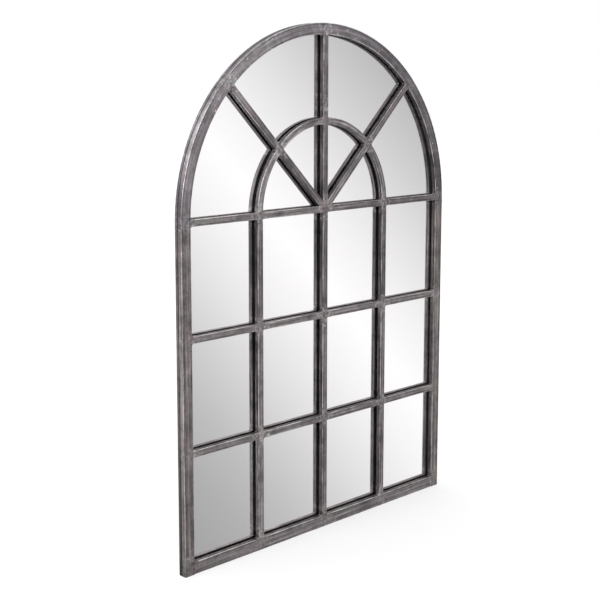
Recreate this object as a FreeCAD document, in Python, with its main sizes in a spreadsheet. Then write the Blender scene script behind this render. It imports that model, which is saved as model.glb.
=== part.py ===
import FreeCAD, Part
import math
import os
import re

import Sketcher

# Arched window mirror: a welded steel lattice in front of one sheet of mirror glass.
# X runs across the face, +Y goes back towards the wall, +Z is up. The origin is the
# bottom centre of the whole mirror. All sizes are millimetres.

doc = FreeCAD.newDocument("ArchedWindowMirror")
sizes = doc.addObject("Spreadsheet::Sheet", "sizes")

driving_sizes = {
    "overall_width": 813,
    "overall_height": 1143,
    "frame_face": 25,  # width of the stiles and of the arch seen from the front
    "rail_face": 27,  # the bottom rail is a little deeper
    "frame_wall": 1.2,
    "front_depth": 12,  # outer tubes and bars are flush at the front and at the back
    "bar_face": 15,
    "bar_wall": 1.0,
    "tube_inside_radius": 0.3,
    "arch_leg": 12,  # straight foot of each arch tube below the spring line
    "rear_face": 16,
    "rear_wall": 1.0,
    "end_plate": 1.2,
    "tape_thickness": 2,
    "tape_width": 6,
    "bar_tape_width": 9,
    "glass_thickness": 3,
    "glass_clearance": 2,  # between the edge of the glass and the rear tubes
    "block_length": 40,
    "liner_thickness": 1,
    "board_thickness": 3,
    "button_reach": 25,  # from the screw to the far end
    "button_width": 10,
    "button_thickness": 1.5,
    "button_screw_radius": 1.5,
    "button_head_radius": 3,
    "hanger_inset": 13,  # hanger centreline from the outside of the frame
    "hanger_drop": 12,  # eye of the hanger below the seam of the tubes
    "strap_width": 9,
    "strap_length": 42,
    "strap_thickness": 1.2,
    "strap_screw_radius": 1.5,
    "strap_head_radius": 3,
    "strap_first_screw": 23,  # from the eye
    "strap_screw_pitch": 12,
    "ring_wire_radius": 1.25,
    "ring_bend_radius": 2.5,
    "ring_leg": 3,
    "ring_side_play": 0.5,
    "running_clearance": 0.1,  # radial, ring in its eye and screw in its button
    "thread_clearance": 0.05,  # radial, screw in the wall of a tube
    "screw_reach": 4.5,  # below the piece that the screw holds
    "screw_head_height": 2,
    "recess_width": 0.8,
    "recess_depth": 0.9,
    "bumper_radius": 4,
    "bumper_height": 6.5,
    "bumper_inset": 11,
    "bumper_rounding": 0.8,
}

derived_sizes = {
    "half_width": "overall_width / 2",
    "spring_height": "overall_height - half_width",
    "seam_height": "spring_height - arch_leg",
    "inner_half": "half_width - frame_face",
    "half_bar": "bar_face / 2",
    "pane_width": "(2 * inner_half - 3 * bar_face) / 4",
    "muntin_offset": "pane_width + bar_face",
    "pane_height": "(spring_height - half_bar - rail_face - 2 * bar_face) / 3",
    "bar_pitch": "pane_height + bar_face",
    "bar_reach": "sqrt(inner_half ^ 2 - half_bar ^ 2)",  # where a bar meets the arch
    "pack_depth": "tape_thickness + glass_thickness + liner_thickness + board_thickness",
    "total_depth": "front_depth + pack_depth + bumper_height",
    "front_y": "-total_depth / 2",
    "rear_y": "front_y + front_depth",
    "glass_y": "rear_y + tape_thickness",
    "back_y": "rear_y + pack_depth",
    "rear_line": "half_width - rear_face / 2",  # centreline of the rear tubes
    "glass_half": "half_width - rear_face - glass_clearance",
    "glass_foot": "rear_face + glass_clearance",
    "tape_half": "glass_half - tape_width",
    "tape_foot": "glass_foot + tape_width",
    "half_tape": "bar_tape_width / 2",
    "tape_reach": "sqrt(tape_half ^ 2 - half_tape ^ 2)",
    "hanger_line": "half_width - hanger_inset",
    "hanger_height": "seam_height - hanger_drop",
    "eye_radius": "ring_wire_radius + running_clearance",
    "bumper_line": "half_width - bumper_inset",
}

for row, (alias, amount_set) in enumerate(driving_sizes.items(), start=1):
    sizes.set(f"A{row}", alias.replace("_", " "))
    sizes.set(f"B{row}", str(amount_set))
    sizes.setAlias(f"B{row}", alias)
for row, (alias, formula) in enumerate(derived_sizes.items(), start=1):
    sizes.set(f"D{row}", alias.replace("_", " "))
    sizes.set(f"E{row}", "=" + formula)
    sizes.setAlias(f"E{row}", alias)
doc.recompute()

sub_parts = []


def linked(formula):
    """The formula with each size named as a cell of the sheet."""
    return re.sub(r"\b([a-z]+(?:_[a-z]+)+)\b", r"sizes.\1", formula)


def amount(formula):
    return float(sizes.evalExpression(linked(formula)))


def bind(feature, target, formula):
    feature.setExpression(target, linked(formula))


# ---- bodies, sketches and the features that repeat ----


def new_body(name, counted=True):
    body = doc.addObject("PartDesign::Body", name)
    body.Label = name
    if counted:
        sub_parts.append(body)
    return body


def place(body, x="0", y="0", z="0", turn=0.0):
    """Turn is about +Y in degrees: it takes +Z towards +X."""
    body.Placement = FreeCAD.Placement(
        FreeCAD.Vector(amount(x), amount(y), amount(z)),
        FreeCAD.Rotation(FreeCAD.Vector(0, 1, 0), turn),
    )
    bind(body, "Placement.Base.x", x)
    bind(body, "Placement.Base.y", y)
    bind(body, "Placement.Base.z", z)


def new_sketch(body, purpose, plane_role, lift="0"):
    sketch = body.newObject("Sketcher::SketchObject", f"{body.Name}_{purpose}")
    planes = [plane for plane in body.Origin.OriginFeatures if plane.Role == plane_role]
    sketch.AttachmentSupport = [(planes[0], "")]
    sketch.MapMode = "FlatFace"
    bind(sketch, "AttachmentOffset.Base.z", lift)
    return sketch


def relate(sketch, kind, *places):
    sketch.addConstraint(Sketcher.Constraint(kind, *places))


def measure(sketch, name, kind, places, formula):
    index = sketch.addConstraint(Sketcher.Constraint(kind, *places, amount(formula)))
    sketch.renameConstraint(index, name)
    bind(sketch, f"Constraints.{name}", formula)


def add_line(sketch, start, end):
    return sketch.addGeometry(Part.LineSegment(FreeCAD.Vector(*start, 0), FreeCAD.Vector(*end, 0)))


def add_arc(sketch, centre, radius, first_angle, last_angle):
    circle = Part.Circle(FreeCAD.Vector(*centre, 0), FreeCAD.Vector(0, 0, 1), radius)
    return sketch.addGeometry(
        Part.ArcOfCircle(circle, math.radians(first_angle), math.radians(last_angle))
    )


def rounded_rectangle(sketch, label, left, low, width, height, radius):
    x_low, y_low, across, up, bend = [amount(f) for f in (left, low, width, height, radius)]
    x_high, y_high = x_low + across, y_low + up
    line_ends = [
        ((x_low + bend, y_low), (x_high - bend, y_low)),
        ((x_high, y_low + bend), (x_high, y_high - bend)),
        ((x_high - bend, y_high), (x_low + bend, y_high)),
        ((x_low, y_high - bend), (x_low, y_low + bend)),
    ]
    bend_centres = [
        (x_high - bend, y_low + bend),
        (x_high - bend, y_high - bend),
        (x_low + bend, y_high - bend),
        (x_low + bend, y_low + bend),
    ]
    lines, arcs = [], []
    for corner in range(4):
        lines.append(add_line(sketch, *line_ends[corner]))
        first_angle = 90 * corner - 90
        arcs.append(add_arc(sketch, bend_centres[corner], bend, first_angle, first_angle + 90))
    for corner in range(4):
        relate(sketch, "Tangent", lines[corner], 2, arcs[corner], 1)
        relate(sketch, "Tangent", arcs[corner], 2, lines[(corner + 1) % 4], 1)
        relate(sketch, "Vertical" if corner % 2 else "Horizontal", lines[corner])
    for corner in range(1, 4):
        relate(sketch, "Equal", arcs[0], arcs[corner])
    measure(sketch, label + "_radius", "Radius", (arcs[0],), radius)
    measure(sketch, label + "_left", "DistanceX", (-1, 1, lines[3], 1), left)
    measure(sketch, label + "_low", "DistanceY", (-1, 1, lines[0], 1), low)
    measure(sketch, label + "_width", "DistanceX", (lines[3], 1, lines[1], 1), width)
    measure(sketch, label + "_height", "DistanceY", (lines[0], 1, lines[2], 1), height)


def polygon(sketch, label, corners):
    """A closed outline through corners, each held by its two distances from the origin."""
    points = [(amount(x), amount(y)) for x, y in corners]
    lines = [add_line(sketch, points[i - 1], points[i]) for i in range(len(points))]
    for i, (x, y) in enumerate(corners):
        relate(sketch, "Coincident", lines[i], 2, lines[(i + 1) % len(lines)], 1)
        measure(sketch, f"{label}_x{i}", "DistanceX", (-1, 1, lines[i], 2), x)
        measure(sketch, f"{label}_y{i}", "DistanceY", (-1, 1, lines[i], 2), y)


def rectangle(sketch, label, left, low, width, height):
    right, high = f"{left} + {width}", f"{low} + {height}"
    polygon(sketch, label, [(left, low), (right, low), (right, high), (left, high)])


def circle(sketch, label, x, y, radius):
    centre = FreeCAD.Vector(amount(x), amount(y), 0)
    ring = sketch.addGeometry(Part.Circle(centre, FreeCAD.Vector(0, 0, 1), amount(radius)))
    measure(sketch, label + "_radius", "Radius", (ring,), radius)
    measure(sketch, label + "_x", "DistanceX", (-1, 1, ring, 3), x)
    measure(sketch, label + "_y", "DistanceY", (-1, 1, ring, 3), y)


def arched_outline(sketch, label, half, foot):
    """Straight sides under a half circle about the origin; foot is the height of its bottom."""
    reach, low = amount(half), amount(foot)
    arc = add_arc(sketch, (0, 0), reach, 0, 180)
    left = add_line(sketch, (-reach, 0), (-reach, low))
    bottom = add_line(sketch, (-reach, low), (reach, low))
    right = add_line(sketch, (reach, low), (reach, 0))
    relate(sketch, "Coincident", arc, 3, -1, 1)
    relate(sketch, "Tangent", arc, 2, left, 1)
    relate(sketch, "Coincident", left, 2, bottom, 1)
    relate(sketch, "Coincident", bottom, 2, right, 1)
    relate(sketch, "Tangent", right, 2, arc, 1)
    relate(sketch, "Vertical", left)
    relate(sketch, "Vertical", right)
    relate(sketch, "Horizontal", bottom)
    measure(sketch, label + "_half", "Radius", (arc,), half)
    measure(sketch, label + "_foot", "DistanceY", (-1, 1, bottom, 1), foot)


def tube_section(sketch, label, left, face, depth, wall):
    rounded_rectangle(sketch, label + "_outside", left, "0", face, depth, f"{wall} + tube_inside_radius")
    inner_face, inner_depth = f"{face} - 2 * {wall}", f"{depth} - 2 * {wall}"
    rounded_rectangle(
        sketch, label + "_inside", f"{left} + {wall}", wall, inner_face, inner_depth, "tube_inside_radius"
    )


def add_pad(body, sketch, length, reverse=False, symmetric=False):
    pad = body.newObject("PartDesign::Pad", sketch.Name + "_pad")
    pad.Profile = sketch
    pad.Reversed = reverse
    if symmetric:
        pad.SideType = "Symmetric"
    bind(pad, "Length", length)
    return pad


def add_through_cut(body, sketch):
    cut = body.newObject("PartDesign::Pocket", sketch.Name + "_cut")
    cut.Profile = sketch
    cut.Type = "ThroughAll"
    cut.SideType = "Symmetric"
    return cut


def add_back_cut(body, sketch, depth):
    """Cuts from a sketch that faces the front, towards the front."""
    cut = body.newObject("PartDesign::Pocket", sketch.Name + "_cut")
    cut.Profile = sketch
    cut.Reversed = True
    bind(cut, "Length", depth)
    return cut


def add_turned(body, sketch, degrees):
    turned = body.newObject("PartDesign::Revolution", sketch.Name + "_turned")
    turned.Profile = sketch
    turned.ReferenceAxis = (sketch, ["V_Axis"])
    turned.Angle = degrees
    turned.Reversed = degrees < 360
    return turned


# ---- tubes ----


def straight_tube(name, face, depth, wall, length):
    """A tube along its own +Z, centred in X, with its front at Y = 0."""
    body = new_body(name)
    section = new_sketch(body, "section", "XY_Plane")
    tube_section(section, "tube", f"-{face} / 2", face, depth, wall)
    add_pad(body, section, length)
    return body


def arch_tube(name, face, depth, wall):
    """A half round tube about its own origin, with a short straight leg at each side."""
    body = new_body(name)
    section = new_sketch(body, "section", "XY_Plane")
    tube_section(section, "right", f"half_width - {face}", face, depth, wall)
    add_turned(body, section, 180)
    legs = new_sketch(body, "legs", "XY_Plane")
    tube_section(legs, "right", f"half_width - {face}", face, depth, wall)
    tube_section(legs, "left", "-half_width", face, depth, wall)
    add_pad(body, legs, "arch_leg", reverse=True)
    return body


def screw_holes(body, spots, screw_radius):
    """Holes in the back wall of a rear tube; spots are (x, z) in the tube's own frame."""
    holes = new_sketch(body, "screw_holes", "XZ_Plane", lift="-pack_depth")
    for number, (x, z) in enumerate(spots):
        circle(holes, f"hole{number}", x, z, f"{screw_radius} + thread_clearance")
    add_back_cut(body, holes, "rear_wall")


def end_plates(name, face, depth, wall, line, y):
    """Plates that close the lower ends of a pair of uprights."""
    plates = []
    for side, sign in (("left", "-"), ("right", "")):
        plate = new_body(f"{name}_{side}", counted=False)
        outline = new_sketch(plate, "outline", "XY_Plane")
        rounded_rectangle(
            outline, "plate", f"-{face} / 2", "0", face, depth, f"{wall} + tube_inside_radius"
        )
        add_pad(plate, outline, "end_plate")
        place(plate, sign + line, y, "0")
        plates.append(plate)
    group(name, plates)


def group(name, members):
    """Like pieces that share one sub-part as separate solids."""
    compound = doc.addObject("Part::Compound", name)
    compound.Label = name
    compound.Links = members
    sub_parts.append(compound)


def make_front_frame():
    arch = arch_tube("outer_arch_tube", "frame_face", "front_depth", "frame_wall")
    place(arch, "0", "front_y", "spring_height")
    for side, sign in (("left", "-"), ("right", "")):
        stile = straight_tube(
            f"{side}_stile_tube", "frame_face", "front_depth", "frame_wall", "seam_height - end_plate"
        )
        place(stile, f"{sign}(half_width - frame_face / 2)", "front_y", "end_plate")
    rail = straight_tube("bottom_rail_tube", "rail_face", "front_depth", "frame_wall", "2 * inner_half")
    place(rail, "-inner_half", "front_y", "rail_face / 2", turn=90)
    end_plates(
        "stile_end_plates", "frame_face", "front_depth", "frame_wall", "(half_width - frame_face / 2)", "front_y"
    )


# ---- lattice of bars ----

bar_levels = {
    "lower": "rail_face + pane_height + half_bar",
    "upper": "spring_height - bar_pitch",
    "spring": "spring_height",
}


def make_uprights():
    for side, x, top in (
        ("left", "-muntin_offset", "spring_height + half_bar"),
        ("centre", "0", "spring_height + bar_reach"),
        ("right", "muntin_offset", "spring_height + half_bar"),
    ):
        upright = straight_tube(f"{side}_muntin", "bar_face", "front_depth", "bar_wall", f"{top} - rail_face")
        place(upright, x, "front_y", "rail_face")


def make_cross_bars():
    for level, height in bar_levels.items():
        outer_end = "bar_reach" if level == "spring" else "inner_half"
        stretches = (
            (f"-{outer_end}", f"{outer_end} - muntin_offset - half_bar"),
            ("-(muntin_offset - half_bar)", "pane_width"),
            ("half_bar", "pane_width"),
            ("(muntin_offset + half_bar)", f"{outer_end} - muntin_offset - half_bar"),
        )
        for number, (start, length) in enumerate(stretches, start=1):
            bar = straight_tube(f"{level}_bar_{number}", "bar_face", "front_depth", "bar_wall", length)
            place(bar, start, "front_y", height, turn=90)


def make_inner_arch():
    """Four like pieces, each an eighth of a ring less half a bar at both ends."""
    for number in range(1, 5):
        body = new_body(f"inner_arch_{number}")
        section = new_sketch(body, "section", "XY_Plane")
        tube_section(section, "bar", "muntin_offset - half_bar", "bar_face", "front_depth", "bar_wall")
        add_turned(body, section, 45)
        trim_to_bars(body, "muntin_offset + bar_face", "half_bar")
        place(body, "0", "front_y", "spring_height", turn=-45 * (4 - number))


def trim_to_bars(body, reach, half):
    """Cuts an eighth of a ring back from both of its radii, to the sides of the bars there."""
    trims = new_sketch(body, "trims", "XZ_Plane")
    rectangle(trims, "level", "0", "-bar_face", reach, f"bar_face + {half}")
    add_through_cut(body, trims)
    slant = new_sketch(body, "slant", "XZ_Plane")
    run, aside = f"{reach} * cos(45)", f"{half} * cos(45)"
    polygon(
        slant,
        "slant",
        [
            (f"-{aside}", aside),
            (aside, f"-{aside}"),
            (f"{run} + {aside}", f"{run} - {aside}"),
            (f"{run} - {aside}", f"{run} + {aside}"),
        ],
    )
    add_through_cut(body, slant)


def point_the_foot(body, half):
    """Cuts the foot of a spoke to a right angle that fits the corner between two bars."""
    tip = f"{half} / cos(45)"
    foot = new_sketch(body, "foot", "XZ_Plane")
    polygon(
        foot,
        "foot",
        [
            ("-bar_face", "-bar_face"),
            ("bar_face", "-bar_face"),
            ("bar_face", f"{tip} + bar_face"),
            ("0", tip),
            ("-bar_face", f"{tip} + bar_face"),
        ],
    )
    add_through_cut(body, foot)


def make_spokes():
    for side, turn in (("left", -45), ("right", 45)):
        spoke = straight_tube(f"{side}_spoke", "bar_face", "front_depth", "bar_wall", "bar_reach")
        point_the_foot(spoke, "half_bar")
        place(spoke, "0", "front_y", "spring_height", turn=turn)


# ---- rear frame ----


def make_rear_frame():
    arch = arch_tube("rear_arch_tube", "rear_face", "pack_depth", "rear_wall")
    place(arch, "0", "rear_y", "spring_height")
    diagonal = "rear_line * cos(45)"
    screw_holes(arch, [(f"-{diagonal}", diagonal), (diagonal, diagonal)], "button_screw_radius")
    for side, sign in (("left", "-"), ("right", "")):
        upright = straight_tube(
            f"rear_{side}_tube", "rear_face", "pack_depth", "rear_wall", "seam_height - end_plate"
        )
        place(upright, f"{sign}rear_line", "rear_y", "end_plate")
        button_spots = [("0", f"{bar_levels[level]} - end_plate") for level in ("lower", "upper")]
        screw_holes(upright, button_spots, "button_screw_radius")
        strap_x = f"{sign}(hanger_line - rear_line)"
        strap_holes = new_sketch(upright, "strap_holes", "XZ_Plane", lift="-pack_depth")
        for number, drop in enumerate(strap_screw_drops):
            spot_z = f"hanger_height - ({drop}) - end_plate"
            circle(strap_holes, f"hole{number}", strap_x, spot_z, "strap_screw_radius + thread_clearance")
        add_back_cut(upright, strap_holes, "rear_wall")
    bottom = straight_tube(
        "rear_bottom_tube", "rear_face", "pack_depth", "rear_wall", "2 * (half_width - rear_face)"
    )
    place(bottom, "-(half_width - rear_face)", "rear_y", "rear_face / 2", turn=90)
    middle = "half_width - rear_face"
    screw_holes(
        bottom,
        [("0", f"{middle} - muntin_offset"), ("0", f"{middle} + muntin_offset")],
        "button_screw_radius",
    )
    end_plates("rear_end_plates", "rear_face", "pack_depth", "rear_wall", "rear_line", "rear_y")


# ---- glass and what is packed round it ----


def arched_sheet(name, thickness, y):
    sheet = new_body(name)
    outline = new_sketch(sheet, "outline", "XZ_Plane")
    arched_outline(outline, "edge", "glass_half", "glass_foot - spring_height")
    add_pad(sheet, outline, thickness, reverse=True)
    place(sheet, "0", y, "spring_height")


def make_glass_pack():
    tape = new_body("edge_tape")
    outline = new_sketch(tape, "outline", "XZ_Plane")
    arched_outline(outline, "outside", "glass_half", "glass_foot - spring_height")
    arched_outline(outline, "inside", "tape_half", "tape_foot - spring_height")
    add_pad(tape, outline, "tape_thickness", reverse=True)
    place(tape, "0", "rear_y", "spring_height")
    arched_sheet("mirror_glass", "glass_thickness", "glass_y")
    arched_sheet("liner_sheet", "liner_thickness", "glass_y + glass_thickness")
    arched_sheet("backing_board", "board_thickness", "back_y - board_thickness")
    blocks = []
    for side, sign in (("left", "-"), ("right", "")):
        block = new_body(f"setting_block_{side}", counted=False)
        outline = new_sketch(block, "outline", "XZ_Plane")
        rectangle(outline, "block", "-block_length / 2", "0", "block_length", "glass_clearance")
        add_pad(block, outline, "pack_depth - tape_thickness", reverse=True)
        place(block, f"{sign}inner_half / 2", "glass_y", "rear_face")
        blocks.append(block)
    group("setting_blocks", blocks)


def tape_strip(name, start_x, start_z, length, turn=0.0):
    """Flat foam strip behind a bar, along its own +Z before it is turned."""
    strip = new_body(name, counted=False)
    section = new_sketch(strip, "section", "XY_Plane")
    rectangle(section, "strip", "-half_tape", "0", "bar_tape_width", "tape_thickness")
    add_pad(strip, section, length)
    place(strip, start_x, "rear_y", start_z, turn=turn)
    return strip


def make_bar_tape():
    strips = []
    for side, x, top in (
        ("left", "-muntin_offset", "spring_height + half_tape"),
        ("centre", "0", "spring_height + tape_reach"),
        ("right", "muntin_offset", "spring_height + half_tape"),
    ):
        strips.append(tape_strip(f"{side}_muntin_tape", x, "tape_foot", f"{top} - tape_foot"))
    for level, height in bar_levels.items():
        outer_end = "tape_reach" if level == "spring" else "tape_half"
        stretches = (
            (f"-{outer_end}", f"{outer_end} - muntin_offset - half_tape"),
            ("-(muntin_offset - half_tape)", "muntin_offset - bar_tape_width"),
            ("half_tape", "muntin_offset - bar_tape_width"),
            ("(muntin_offset + half_tape)", f"{outer_end} - muntin_offset - half_tape"),
        )
        for number, (start, length) in enumerate(stretches, start=1):
            strips.append(tape_strip(f"{level}_tape_{number}", start, height, length, turn=90))
    for side, turn in (("left", -45), ("right", 45)):
        strip = tape_strip(f"{side}_spoke_tape", "0", "spring_height", "tape_reach", turn=turn)
        point_the_foot(strip, "half_tape")
        strips.append(strip)
    for number in range(1, 5):
        strip = new_body(f"inner_arch_tape_{number}", counted=False)
        section = new_sketch(strip, "section", "XY_Plane")
        rectangle(section, "strip", "muntin_offset - half_tape", "0", "bar_tape_width", "tape_thickness")
        add_turned(strip, section, 45)
        trim_to_bars(strip, "muntin_offset + bar_face", "half_tape")
        place(strip, "0", "rear_y", "spring_height", turn=-45 * (4 - number))
        strips.append(strip)
    group("bar_tape", strips)


# ---- turn buttons, hangers and bumpers ----


def pan_head_screw(name, shank_radius, head_radius, held_thickness):
    """A screw along its own Y: the head stands on Y = 0 and the shank points to the front."""
    screw = new_body(name, counted=False)
    profile = new_sketch(screw, "profile", "XY_Plane")
    polygon(
        profile,
        "half",
        [
            ("0", f"-screw_reach - {held_thickness}"),
            (shank_radius, f"-screw_reach - {held_thickness}"),
            (shank_radius, "0"),
            (head_radius, "0"),
            (head_radius, "screw_head_height * 0.4"),
            (f"{head_radius} * 0.85", "screw_head_height * 0.8"),
            (f"{head_radius} * 0.5", "screw_head_height"),
            ("0", "screw_head_height"),
        ],
    )
    add_turned(screw, profile, 360)
    recess = new_sketch(screw, "recess", "XZ_Plane", lift="-screw_head_height")
    arm, edge = f"{head_radius} * 0.55", "recess_width / 2"
    cross = [
        (arm, edge), (edge, edge), (edge, arm), (f"-{edge}", arm), (f"-{edge}", edge), (f"-{arm}", edge),
        (f"-{arm}", f"-{edge}"), (f"-{edge}", f"-{edge}"), (f"-{edge}", f"-{arm}"), (edge, f"-{arm}"),
        (edge, f"-{edge}"), (arm, f"-{edge}"),
    ]
    polygon(recess, "cross", cross)
    add_back_cut(screw, recess, "recess_depth")
    return screw


def turn_button(name):
    """A plate along its own +X with rounded ends; its screw stands at the origin."""
    button = new_body(name)
    outline = new_sketch(button, "outline", "XZ_Plane")
    half, far = "button_width / 2", "(button_reach - button_width / 2)"
    radius, reach = amount(half), amount(far)
    near_end = add_arc(outline, (0, 0), radius, 90, 270)
    low_edge = add_line(outline, (0, -radius), (reach, -radius))
    far_end = add_arc(outline, (reach, 0), radius, -90, 90)
    high_edge = add_line(outline, (reach, radius), (0, radius))
    relate(outline, "Coincident", near_end, 3, -1, 1)
    relate(outline, "Tangent", near_end, 2, low_edge, 1)
    relate(outline, "Tangent", low_edge, 2, far_end, 1)
    relate(outline, "Tangent", far_end, 2, high_edge, 1)
    relate(outline, "Tangent", high_edge, 2, near_end, 1)
    relate(outline, "Horizontal", low_edge)
    measure(outline, "end_radius", "Radius", (near_end,), half)
    measure(outline, "end_spacing", "DistanceX", (near_end, 3, far_end, 3), far)
    circle(outline, "hole", "0", "0", "button_screw_radius + running_clearance")
    add_pad(button, outline, "button_thickness", reverse=True)
    return button


def button_spots():
    """Where each button's screw stands, and the turn that points the button at the glass."""
    diagonal = "rear_line * cos(45)"
    spots = [(f"-{diagonal}", f"spring_height + {diagonal}", 45), (diagonal, f"spring_height + {diagonal}", 135)]
    for level in ("upper", "lower"):
        spots.append(("-rear_line", bar_levels[level], 0))
        spots.append(("rear_line", bar_levels[level], 180))
    spots.append(("-muntin_offset", "rear_face / 2", -90))
    spots.append(("muntin_offset", "rear_face / 2", -90))
    return spots


def make_turn_buttons():
    screws = []
    for number, (x, z, turn) in enumerate(button_spots(), start=1):
        button = turn_button(f"turn_button_{number}")
        place(button, x, "back_y", z, turn=turn)
        screw = pan_head_screw(
            f"turn_button_screw_{number}", "button_screw_radius", "button_head_radius", "button_thickness"
        )
        place(screw, x, "back_y + button_thickness", z)
        screws.append(screw)
    group("turn_button_screws", screws)


strap_screw_drops = ("strap_first_screw", "strap_first_screw + strap_screw_pitch")


def hanger_strap(name):
    """Strap with a rolled eye at its top; the origin is the middle of the eye."""
    strap = new_body(name)
    plate = new_sketch(strap, "plate", "XZ_Plane", lift="eye_radius + strap_thickness")
    rectangle(plate, "plate", "-strap_width / 2", "-strap_length", "strap_width", "strap_length")
    for number, drop in enumerate(strap_screw_drops):
        circle(plate, f"hole{number}", "0", f"-({drop})", "strap_screw_radius + running_clearance")
    add_pad(strap, plate, "strap_thickness", reverse=True)
    eye = new_sketch(strap, "eye", "YZ_Plane")
    circle(eye, "outside", "0", "0", "eye_radius + strap_thickness")
    circle(eye, "bore", "0", "0", "eye_radius")
    add_pad(strap, eye, "strap_width", symmetric=True)
    return strap


def hanger_ring(name):
    """Wire ring with a straight pin through the eye and a round bow that hangs down."""
    ring = new_body(name)
    path = new_sketch(ring, "path", "XZ_Plane")
    pin_half, bend, leg = "(strap_width / 2 + ring_side_play)", "ring_bend_radius", "ring_leg"
    pin, turn, drop = amount(pin_half), amount(bend), amount(leg)
    side = pin + turn
    pin_line = add_line(path, (-pin, 0), (pin, 0))
    right_bend = add_arc(path, (pin, -turn), turn, 0, 90)
    right_leg = add_line(path, (side, -turn), (side, -turn - drop))
    bow = add_arc(path, (0, -turn - drop), side, 180, 360)
    left_leg = add_line(path, (-side, -turn - drop), (-side, -turn))
    left_bend = add_arc(path, (-pin, -turn), turn, 90, 180)
    relate(path, "Tangent", pin_line, 2, right_bend, 2)
    relate(path, "Tangent", right_bend, 1, right_leg, 1)
    relate(path, "Tangent", right_leg, 2, bow, 2)
    relate(path, "Tangent", bow, 1, left_leg, 1)
    relate(path, "Tangent", left_leg, 2, left_bend, 2)
    relate(path, "Tangent", left_bend, 1, pin_line, 1)
    relate(path, "Horizontal", pin_line)
    relate(path, "Vertical", right_leg)
    relate(path, "Symmetric", pin_line, 1, pin_line, 2, -1, 1)
    relate(path, "Equal", right_bend, left_bend)
    measure(path, "pin_length", "DistanceX", (pin_line, 1, pin_line, 2), f"2 * {pin_half}")
    measure(path, "bend", "Radius", (right_bend,), bend)
    measure(path, "leg", "DistanceY", (right_leg, 2, right_leg, 1), leg)
    section = new_sketch(ring, "wire", "YZ_Plane")
    circle(section, "wire", "0", "0", "ring_wire_radius")
    pipe = ring.newObject("PartDesign::AdditivePipe", name + "_pipe")
    pipe.Profile = section
    pipe.Spine = (path, [f"Edge{number}" for number in range(1, 7)])
    return ring


def make_hangers():
    screws = []
    eye_y = "back_y + eye_radius + strap_thickness"
    for side, sign in (("left", "-"), ("right", "")):
        line = f"{sign}hanger_line"
        place(hanger_strap(f"{side}_hanger_strap"), line, eye_y, "hanger_height")
        place(hanger_ring(f"{side}_hanger_ring"), line, eye_y, "hanger_height")
        for number, drop in enumerate(strap_screw_drops, start=1):
            screw = pan_head_screw(
                f"{side}_hanger_screw_{number}", "strap_screw_radius", "strap_head_radius", "strap_thickness"
            )
            place(screw, line, "back_y + strap_thickness", f"hanger_height - ({drop})")
            screws.append(screw)
    group("hanger_screws", screws)


def make_wall_bumpers():
    bumpers = []
    spots = []
    for sign in ("-", ""):
        spots.append((f"{sign}bumper_line", "bumper_inset"))
        spots.append((f"{sign}bumper_line * sin(30)", "spring_height + bumper_line * cos(30)"))
    for number, (x, z) in enumerate(spots, start=1):
        bumper = new_body(f"wall_bumper_{number}", counted=False)
        profile = new_sketch(bumper, "profile", "XY_Plane")
        polygon(
            profile,
            "half",
            [
                ("0", "0"),
                ("bumper_radius", "0"),
                ("bumper_radius", "bumper_height - bumper_rounding"),
                ("bumper_radius - bumper_rounding", "bumper_height"),
                ("0", "bumper_height"),
            ],
        )
        add_turned(bumper, profile, 360)
        place(bumper, x, "back_y", z)
        bumpers.append(bumper)
    group("wall_bumpers", bumpers)


make_front_frame()
make_uprights()
make_cross_bars()
make_inner_arch()
make_spokes()
make_rear_frame()
make_glass_pack()
make_bar_tape()
make_turn_buttons()
make_hangers()
make_wall_bumpers()
doc.recompute()

for thing in doc.Objects:
    if "Invalid" in thing.State or "Error" in thing.State:
        raise RuntimeError(f"{thing.Label} did not build: {thing.State}")
for sub_part in sub_parts:
    if sub_part.Shape.isNull() or not sub_part.Shape.isValid():
        raise RuntimeError(f"{sub_part.Label} has no sound shape")

os.makedirs("parts", exist_ok=True)
for sub_part in sub_parts:
    sub_part.Shape.exportStep(f"parts/{sub_part.Label}.step")
    box = sub_part.Shape.BoundBox
    print(
        f"{sub_part.Label:22s} solids {len(sub_part.Shape.Solids):2d}  volume {sub_part.Shape.Volume:10.1f}"
        f"  x {box.XMin:8.2f} {box.XMax:8.2f}  y {box.YMin:7.2f} {box.YMax:7.2f}"
        f"  z {box.ZMin:8.2f} {box.ZMax:8.2f}"
    )
print(len(sub_parts), "sub-parts")
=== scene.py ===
import math
import random

import bmesh
import bpy
from mathutils import Matrix, Vector, noise


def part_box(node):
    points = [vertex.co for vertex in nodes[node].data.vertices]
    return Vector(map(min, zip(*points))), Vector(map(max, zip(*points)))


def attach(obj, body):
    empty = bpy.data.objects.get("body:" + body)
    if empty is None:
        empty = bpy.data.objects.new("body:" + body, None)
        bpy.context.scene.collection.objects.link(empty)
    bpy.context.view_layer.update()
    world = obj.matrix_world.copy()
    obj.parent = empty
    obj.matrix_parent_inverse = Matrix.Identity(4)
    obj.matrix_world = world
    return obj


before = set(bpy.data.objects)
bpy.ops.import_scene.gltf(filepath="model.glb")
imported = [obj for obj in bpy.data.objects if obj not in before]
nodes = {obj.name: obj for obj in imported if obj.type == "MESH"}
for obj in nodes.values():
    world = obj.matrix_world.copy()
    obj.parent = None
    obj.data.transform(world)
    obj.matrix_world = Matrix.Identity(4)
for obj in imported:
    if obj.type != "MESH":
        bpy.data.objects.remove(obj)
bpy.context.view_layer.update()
print("frame loaded,", len(nodes), "nodes")


def middle(name):
    low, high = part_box(name)
    return (low + high) / 2


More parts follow.
